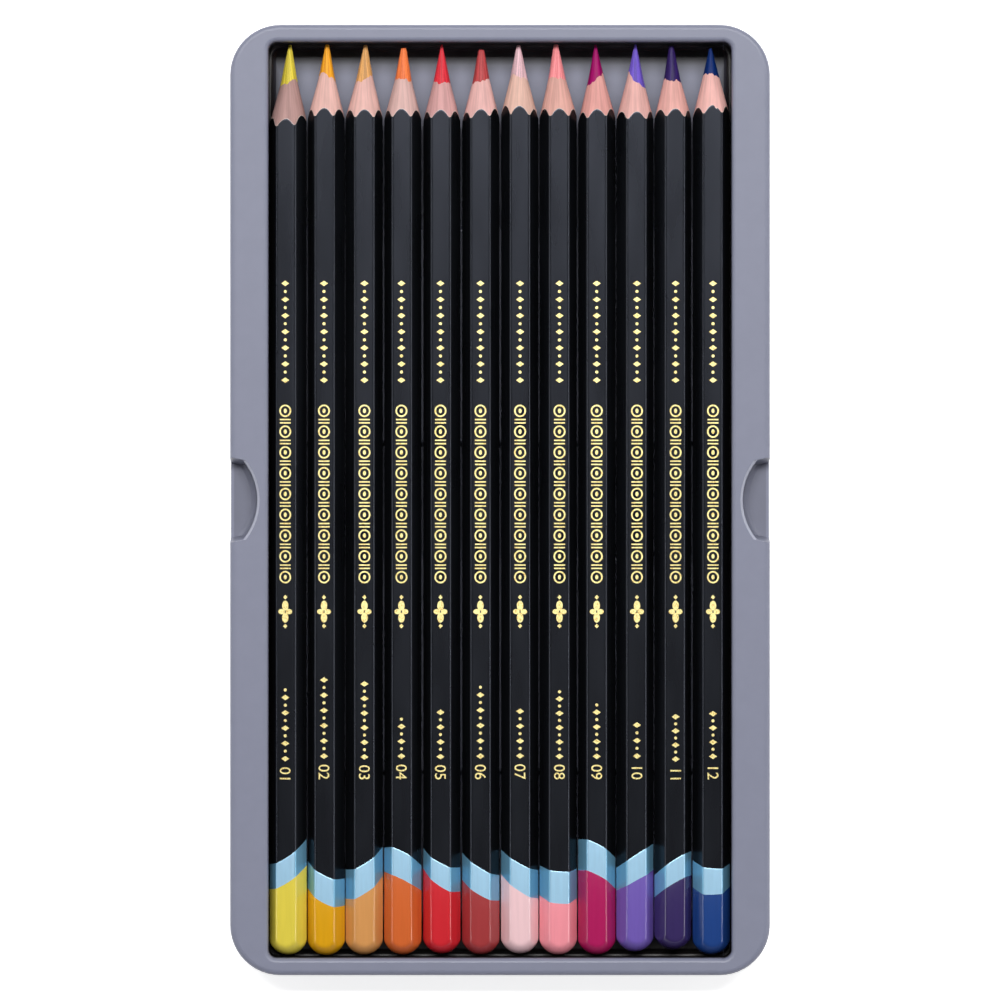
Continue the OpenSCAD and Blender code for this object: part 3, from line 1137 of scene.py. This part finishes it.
@dataclass
class Foil:
    """Gold ornament on a pencil's top flat: beads, bead and reel, a rosette and a number.

    Places along the pencil are measured from the tray's middle, and widths across the flat.
    Sizes are (across, along) the pencil.

    Attributes:
        pencil: The pencil that carries it.
        lift: Height of the foil's middle over the flat.
        thickness: Thickness of the foil.
        beads, bead, dot: Ends of the small beads, size of a lozenge, radius of a dot.
        pitches: Rough distances between small beads, in their long and their short row.
        reels, hoops: Ends of the bead and reel, and number of open beads in it.
        hoop_r, hoop_share: An open bead's radius across, and along as a share of the pitch.
        pip, stroke: Radii of the dot inside it, and width of its line.
        reel, reel_at: Size of a reel, and places of two as shares of the pitch.
        rosette_at, spread: Place of the rosette, and distances of its parts from there.
        petal, leaf, tip: Radii of its long and short petals, and size of the points beyond.
        number_end, number_size, number_gap: Where the number ends, its size, the space after it.
    """

    pencil: Pencil
    lift: float = 0.012
    thickness: float = 0.03
    beads: Pair = (22.1, 42.1)
    bead: Pair = (1.55, 1.05)
    dot: float = 0.3
    pitches: Pair = (1.54, 1.4)
    reels: Pair = (-16.7, 19.0)
    hoops: int = 9
    hoop_r: float = 1.15
    hoop_share: float = 0.3
    pip: Pair = (0.3, 0.45)
    reel: Pair = (2.1, 0.26)
    reel_at: Pair = (0.42, 0.58)
    stroke: float = 0.3
    rosette_at: float = -21.3
    petal: Pair = (0.62, 0.95)
    leaf: Pair = (0.62, 0.5)
    tip: Pair = (0.8, 0.9)
    spread: Triple = (1.15, 0.72, 2.75)
    number_end: float = -53.3
    number_size: float = 3.0
    number_gap: float = 0.8

    def __post_init__(self) -> None:
        """Starts with an empty sheet, turned as the pencil is."""
        self.skin = Skin()
        self.turn = cmath.rect(1, -math.radians(self.pencil.row.roll))

    def at(self, u: float, v: float) -> Vector:
        """Point on the flat: u across it, v along the pencil."""
        spot = complex(u, self.pencil.top + self.lift) * self.turn
        return self.pencil.spot(spot.real, v, spot.imag)

    def patch(self, corners: Sequence[Pair]) -> None:
        """Adds a filled outline."""
        self.skin.cap(self.skin.ring(self.at(u, v) for u, v in corners))

    def loop(self, u: float, v: float, ru: float, rv: float, steps: int) -> Outline:
        """Points round an oval."""
        turns = (2 * math.pi * k / steps for k in range(steps))
        return [(u + ru * math.cos(t), v + rv * math.sin(t)) for t in turns]

    def oval(self, u: float, v: float, ru: float, rv: float, steps: int = 16) -> None:
        """Adds a filled oval."""
        self.patch(self.loop(u, v, ru, rv, steps))

    def hoop(self, u: float, v: float, ru: float, rv: float, steps: int = 20) -> None:
        """Adds an oval ring of the stroke's width."""
        lines = (self.loop(u, v, ru - s, rv - s, steps) for s in (self.stroke, 0.0))
        self.skin.stack([self.at(*spot) for spot in line] for line in lines)

    def bar(self, u: float, v: float, wide: float, long: float) -> None:
        """Adds a rectangle."""
        a, b = wide / 2, long / 2
        self.patch([(u - a, v - b), (u + a, v - b), (u + a, v + b), (u - a, v + b)])

    def lozenge(self, u: float, v: float, wide: float, long: float) -> None:
        """Adds a diamond."""
        a, b = wide / 2, long / 2
        self.patch([(u, v - b), (u + a, v), (u, v + b), (u - a, v)])

    def small_beads(self, low: float, high: float, pitch: float) -> None:
        """Row of small lozenges, with a dot between two of them.

        Args:
            low, high: Its ends.
            pitch: Rough distance from one bead to the next.
        """
        count = max(1, round((high - low) / pitch))
        for k in range(count):
            v = low + (k + 0.5) * (high - low) / count
            if k % 2:
                self.oval(0, v, self.dot, self.dot, 12)
            else:
                self.lozenge(0, v, *self.bead)

    def bead_and_reel(self) -> None:
        """Long run of open beads with a pair of reels between them."""
        low, high = self.reels
        pitch = (high - low) / self.hoops
        for k in range(self.hoops):
            v = low + (k + 0.5) * pitch
            self.hoop(0, v, self.hoop_r, pitch * self.hoop_share)
            self.oval(0, v, *self.pip, 12)
            if k < self.hoops - 1:
                for share in self.reel_at:
                    self.bar(0, v + pitch * share, *self.reel)

    def rosette(self) -> None:
        """Solid rosette of four petals between two points."""
        v = self.rosette_at
        petal_at, leaf_at, tip_at = self.spread
        for way in (-1, 1):
            self.oval(0, v + petal_at * way, *self.petal, 20)
            self.oval(leaf_at * way, v, *self.leaf, 20)
            self.lozenge(0, v + tip_at * way, *self.tip)

    def digits(self) -> float:
        """Adds the pencil's number, read along the barrel.

        Returns:
            Place along the pencil where the number begins.
        """
        curve = bpy.data.curves.new("digits", "FONT")
        curve.body = f"{self.pencil.number:02d}"
        curve.size = self.number_size
        curve.resolution_u = 4
        text = bpy.data.objects.new("digits", curve)
        bpy.context.scene.collection.objects.link(text)
        bpy.context.view_layer.update()
        mesh = text.to_mesh()
        spots = [p.co for p in mesh.vertices]
        middle = max(p.y for p in spots) / 2
        start = self.number_end + max(p.x for p in spots)
        numbers = self.skin.ring(self.at(p.y - middle, start - p.x) for p in spots)
        for polygon in mesh.polygons:
            self.skin.cap([numbers[k] for k in polygon.vertices])
        bpy.data.objects.remove(text)
        bpy.data.curves.remove(curve)
        return start

    def build(self, gold: Material) -> None:
        """Makes the ornament as one thin piece.

        Args:
            gold: Its material.
        """
        self.small_beads(*self.beads, self.pitches[0])
        self.bead_and_reel()
        self.rosette()
        start = self.digits() + self.number_gap
        self.small_beads(start, self.number_end + self.pencil.row.label, self.pitches[1])
        piece = self.skin.build(f"{self.pencil.row.name}_foil", [gold], smooth=False)
        solid = piece.modifiers.new("thickness", "SOLIDIFY")
        solid.thickness = self.thickness * MM
        solid.offset = 0
        settle(piece, self.pencil.body, Slot.FOIL.value)


# ------------ tray and studio


@dataclass
class Tray:
    """The formed tray, which keeps its CAD shape."""

    finish: TrayPlastic = TrayPlastic()

    def build(self) -> None:
        """Gives the CAD node its material."""
        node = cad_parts["tray"]
        node.data.materials.clear()
        node.data.materials.append(self.finish.material())
        log.info("tray has its finish")


@dataclass(frozen=True)
class Lamp:
    """Softbox that faces the tray.

    Attributes:
        name, place: Its name, and where it stands.
        size, watts: Its width and height, and its power.
    """

    name: str
    place: Triple
    size: Pair
    watts: float

    def build(self) -> None:
        """Adds the lamp."""
        light = bpy.data.lights.new(self.name, "AREA")
        light.shape = "RECTANGLE"
        light.size, light.size_y = (s * MM for s in self.size)
        light.energy = self.watts
        lamp = bpy.data.objects.new(self.name, light)
        lamp.location = Vector(self.place) * MM
        lamp.rotation_euler = (-Vector(self.place)).to_track_quat("-Z", "Y").to_euler()
        bpy.context.scene.collection.objects.link(lamp)


@dataclass
class Studio:
    """Floor, lights and camera.

    Attributes:
        camera_height, view_width: The camera's height above the rim, and the width it sees there.
        sensor: Width of the camera's sensor.
        ambient: Strength of the surroundings as light.
        horizon: Heights on the unit sphere between which the white fades to the dim overhead.
        floor_tone, floor_glow: Grey of the floor, and how much it shows beyond its light.
        floor_half, floor_drop: Half its size, and how far it lies below the tray.
        lamps: The softboxes.
    """

    camera_height: float = 1200.0
    view_width: float = 190.66
    sensor: float = 36.0
    ambient: float = 0.06
    horizon: Pair = (0.1, 0.45)
    floor_tone: float = 0.9
    floor_glow: float = 0.74
    floor_half: float = 1500.0
    floor_drop: float = 0.02
    lamps: tuple[Lamp, ...] = (
        Lamp("key", (0, 562, 1391), (1500, 250), 25.0),
        Lamp("left", (-706, 40, 376), (600, 70), 0.8),
        Lamp("right", (706, -40, 376), (600, 70), 1.2),
    )

    def floor(self) -> None:
        """Plain white floor that keeps the tray's shadow."""
        g = Graph.material("studio_floor")
        paint = g.node("ShaderNodeBsdfDiffuse", {}, {"Color": (*(self.floor_tone,) * 3, 1)})
        glow = g.node("ShaderNodeEmission", {}, {"Strength": g.seen() * self.floor_glow})
        both = g.node("ShaderNodeAddShader", {}, {0: paint, 1: glow})
        g.node("ShaderNodeOutputMaterial", {}, {"Surface": both})
        skin = Skin()
        half = self.floor_half
        corners = ((-half, -half), (half, -half), (half, half), (-half, half))
        skin.cap(skin.ring([(x, y, -self.floor_drop) for x, y in corners]))
        skin.build("studio_floor", [g.owner], smooth=False)

    def world(self) -> None:
        """Surroundings: white round the horizon to the eye, dim overhead and as light."""
        g = Graph(bpy.data.worlds.new("studio"))
        direction = g.node("ShaderNodeTexCoord", out="Generated")
        height = g.node("ShaderNodeSeparateXYZ", {}, {0: direction}, out="Z")
        white = g.seen() * height.fade(*self.horizon)
        strength = self.ambient + (1 - self.ambient) * white
        colour = (1.0, 1.0, 1.0, 1.0)
        background = g.node("ShaderNodeBackground", {}, {"Color": colour, "Strength": strength})
        g.node("ShaderNodeOutputWorld", {}, {"Surface": background})
        bpy.context.scene.world = g.owner

    def camera(self) -> None:
        """Camera straight above the tray."""
        data = bpy.data.cameras.new("camera")
        data.sensor_width = self.sensor
        data.lens = self.sensor * self.camera_height / self.view_width
        camera = bpy.data.objects.new("camera", data)
        rim = node_box("tray")[1].z
        camera.location = Vector((0, 0, self.camera_height + rim)) * MM
        data.clip_end = 10
        bpy.context.scene.collection.objects.link(camera)
        bpy.context.scene.camera = camera

    def build(self) -> None:
        """Sets up the studio."""
        scene = bpy.context.scene
        scene.view_settings.view_transform = "Standard"
        self.floor()
        self.world()
        for lamp in self.lamps:
            lamp.build()
        self.camera()
        log.info("studio is set")


def main() -> None:
    """Builds the studio, the tray and the row of pencils."""
    logging.basicConfig(level=logging.INFO, format="%(message)s")
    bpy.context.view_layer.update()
    Studio().build()
    Tray().build()
    shared = {
        Slot.LACQUER: Lacquer().material(),
        Slot.BAND: DipPaint(Slot.BAND.value, "#A9D6F2", roughness=0.34, pearl=0.4).material(),
        # Darker copy of the band's blue, painted shade for its side flats.
        Slot.BAND_PAINTED_SHADE: DipPaint(
            Slot.BAND_PAINTED_SHADE.value, "#76B0D0", roughness=0.3, pearl=0.4
        ).material(),
        Slot.FOIL: GoldFoil().material(),
    }
    primer = Undercoat().material()
    for number, row in enumerate(ROWS, 1):
        Pencil(row, number).build(shared, primer)


if __name__ == "__main__":
    main()
